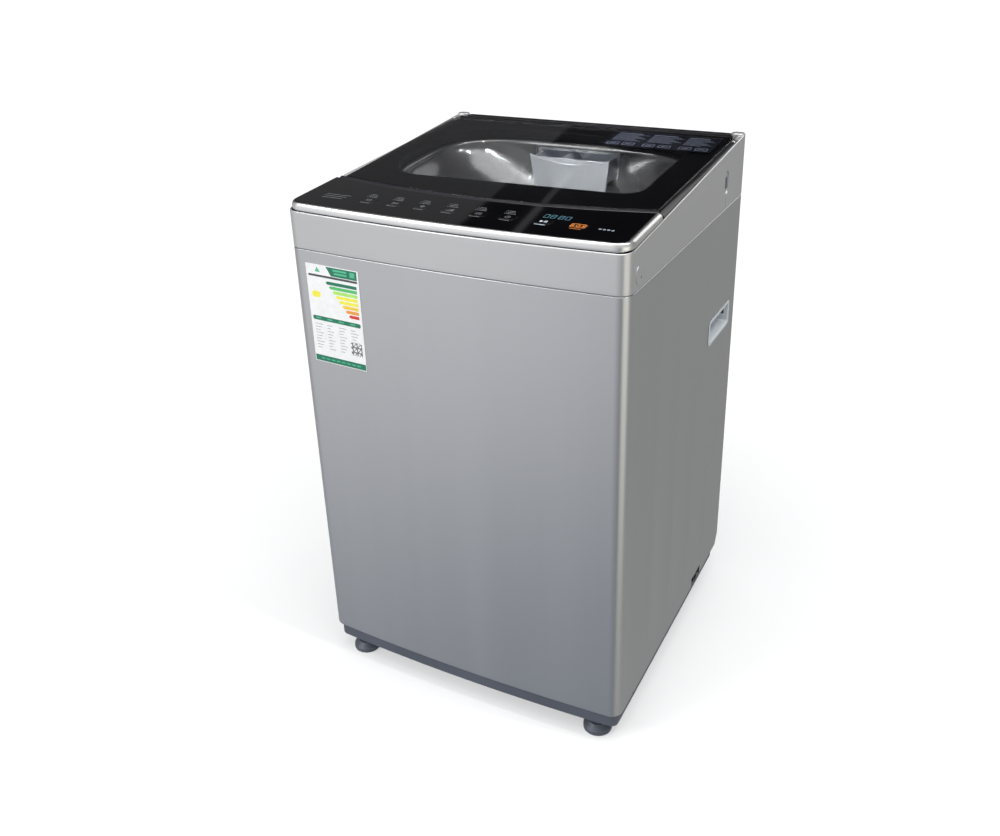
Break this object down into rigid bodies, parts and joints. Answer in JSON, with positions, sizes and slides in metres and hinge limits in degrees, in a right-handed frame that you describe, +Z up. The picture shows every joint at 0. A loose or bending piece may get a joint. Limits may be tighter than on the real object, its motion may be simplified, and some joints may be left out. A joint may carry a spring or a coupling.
{
  "type": "top load washing machine",
  "caption": "Free-standing top load washer: steel cabinet, hinged glass lid, sloping control panel, hung tub with spinning basket and pulsator.",
  "frame": {"origin": "on the floor, under the middle of the machine's bounding box", "axes": "+X to the machine's right as seen from the front, -Y to the front, +Z up"},
  "size_m": [0.5526, 0.556, 0.877],
  "materials": {
    "silver_paint": "fine metallic silver-grey paint, satin",
    "galvanised": "zinc-coated steel, dull",
    "dark_plastic": "dark blue-grey moulded plastic",
    "pale_plastic": "pale grey moulded plastic",
    "silver_plastic": "silver-painted plastic, satin",
    "bright_trim": "bright brushed silver",
    "black_gloss": "piano black gloss",
    "black_plastic": "black moulded plastic, satin",
    "dark_trim": "dark grey satin plastic",
    "tinted_glass": "smoked tempered glass with a black printed border",
    "circuit_board": "green solder mask",
    "rubber": "black rubber",
    "stainless": "polished stainless steel",
    "aluminium": "cast aluminium",
    "motor_paint": "dark stove enamel"
  },
  "bodies": {
    "cabinet": {"cabinet_shell": "silver_paint", "back_panel": "galvanised", "base_frame": "dark_plastic", "foot_rear_left": "dark_plastic", "foot_rear_right": "dark_plastic", "side_handle_left": "pale_plastic", "side_handle_right": "pale_plastic", "top_cover": "silver_plastic", "loading_funnel": "silver_plastic", "control_panel_trim": "bright_trim", "control_panel": "black_gloss", "control_board": "circuit_board", "detergent_housing": "pale_plastic", "water_valve_cold": "pale_plastic", "water_valve_hot": "pale_plastic", "cord_gland": "rubber", "suspension_rod_front_left": "galvanised", "suspension_rod_front_right": "galvanised", "suspension_rod_rear_left": "galvanised", "suspension_rod_rear_right": "galvanised", "suspension_spring_front_left": "stainless", "suspension_spring_front_right": "stainless", "suspension_spring_rear_left": "stainless", "suspension_spring_rear_right": "stainless", "drain_outlet": "black_plastic", "capacitor": "aluminium"},
    "front_left_foot": {"foot_front_left": "dark_plastic"},
    "front_right_foot": {"foot_front_right": "dark_plastic"},
    "lid": {"lid_frame": "black_plastic", "lid_glass": "tinted_glass", "lid_front_trim": "dark_trim", "lid_hinge_pin_left": "galvanised", "lid_hinge_pin_right": "galvanised"},
    "wash_key": {"key_wash": "black_gloss"},
    "rinse_key": {"key_rinse": "black_gloss"},
    "spin_key": {"key_spin": "black_gloss"},
    "level_key": {"key_level": "black_gloss"},
    "program_key": {"key_program": "black_gloss"},
    "delay_key": {"key_delay": "black_gloss"},
    "start_key": {"key_start": "black_gloss"},
    "power_key": {"key_power": "black_gloss"},
    "drawer": {"detergent_drawer": "silver_plastic"},
    "tub": {"outer_tub": "pale_plastic", "tub_ring": "pale_plastic", "drive_mount": "galvanised", "gearbox": "aluminium", "motor": "motor_paint", "drive_belt": "rubber", "drain_valve": "dark_plastic"},
    "basket": {"wash_basket": "stainless", "basket_base": "pale_plastic", "balance_ring": "pale_plastic", "spin_shaft": "stainless"},
    "agitator": {"pulsator": "pale_plastic", "pulsator_cap": "bright_trim", "wash_shaft": "stainless"},
    "left_filter": {"lint_filter_left": "pale_plastic"},
    "right_filter": {"lint_filter_right": "pale_plastic"},
    "large_pulley": {"drive_pulley": "aluminium"},
    "small_pulley": {"motor_pulley": "aluminium"}
  },
  "joints": [
    {"name": "lid_hinge", "type": "hinge", "parent": "cabinet", "child": "lid", "pos_m": [0, 0.24116, 0.86426], "axis": [-1, 0, 0], "range_deg": [0, 95]},
    {"name": "wash_key_press", "type": "slide", "parent": "cabinet", "child": "wash_key", "axis": [0, 0.0611, -0.9981], "range_m": [0, 0.001], "stiffness_N_per_m": 1000, "springref_m": -0.001},
    {"name": "rinse_key_press", "type": "slide", "parent": "cabinet", "child": "rinse_key", "axis": [0, 0.0611, -0.9981], "range_m": [0, 0.001], "stiffness_N_per_m": 1000, "springref_m": -0.001},
    {"name": "spin_key_press", "type": "slide", "parent": "cabinet", "child": "spin_key", "axis": [0, 0.0611, -0.9981], "range_m": [0, 0.001], "stiffness_N_per_m": 1000, "springref_m": -0.001},
    {"name": "level_key_press", "type": "slide", "parent": "cabinet", "child": "level_key", "axis": [0, 0.0611, -0.9981], "range_m": [0, 0.001], "stiffness_N_per_m": 1000, "springref_m": -0.001},
    {"name": "program_key_press", "type": "slide", "parent": "cabinet", "child": "program_key", "axis": [0, 0.0611, -0.9981], "range_m": [0, 0.001], "stiffness_N_per_m": 1000, "springref_m": -0.001},
    {"name": "delay_key_press", "type": "slide", "parent": "cabinet", "child": "delay_key", "axis": [0, 0.0611, -0.9981], "range_m": [0, 0.001], "stiffness_N_per_m": 1000, "springref_m": -0.001},
    {"name": "start_key_press", "type": "slide", "parent": "cabinet", "child": "start_key", "axis": [0, 0.0611, -0.9981], "range_m": [0, 0.001], "stiffness_N_per_m": 1000, "springref_m": -0.001},
    {"name": "power_key_press", "type": "slide", "parent": "cabinet", "child": "power_key", "axis": [0, 0.0611, -0.9981], "range_m": [0, 0.001], "stiffness_N_per_m": 1000, "springref_m": -0.001},
    {"name": "drawer_slide", "type": "slide", "parent": "cabinet", "child": "drawer", "axis": [0, -1, 0], "range_m": [0, 0.08]},
    {"name": "tub_bounce", "type": "slide", "parent": "cabinet", "child": "tub", "axis": [0, 0, 1], "range_m": [-0.03, 0], "stiffness_N_per_m": 10000, "springref_m": 0.035, "deforming": ["suspension_spring_front_left", "suspension_spring_front_right", "suspension_spring_rear_left", "suspension_spring_rear_right"]},
    {"name": "basket_spin", "type": "hinge", "parent": "tub", "child": "basket", "pos_m": [0, 0, 0.45], "axis": [0, 0, 1], "continuous": true},
    {"name": "pulsator_spin", "type": "hinge", "parent": "tub", "child": "agitator", "pos_m": [0, 0, 0.2], "axis": [0, 0, 1], "continuous": true},
    {"name": "large_pulley_spin", "type": "hinge", "parent": "tub", "child": "large_pulley", "pos_m": [0, 0, 0.079], "axis": [0, 0, 1], "continuous": true},
    {"name": "small_pulley_spin", "type": "hinge", "parent": "tub", "child": "small_pulley", "pos_m": [-0.108, 0.104, 0.079], "axis": [0, 0, 1], "continuous": true},
    {"name": "left_filter_pull", "type": "slide", "parent": "basket", "child": "left_filter", "axis": [1, 0, 0], "range_m": [0, 0.06]},
    {"name": "right_filter_pull", "type": "slide", "parent": "basket", "child": "right_filter", "axis": [-1, 0, 0], "range_m": [0, 0.06]},
    {"name": "front_left_foot_level", "type": "slide", "parent": "cabinet", "child": "front_left_foot", "axis": [0, 0, -1], "range_m": [0, 0.012]},
    {"name": "front_right_foot_level", "type": "slide", "parent": "cabinet", "child": "front_right_foot", "axis": [0, 0, -1], "range_m": [0, 0.012]}
  ],
  "couplings": [
    {"joint": "large_pulley_spin", "follows": "pulsator_spin", "ratio": 5},
    {"joint": "small_pulley_spin", "follows": "pulsator_spin", "ratio": 14.808}
  ]
}
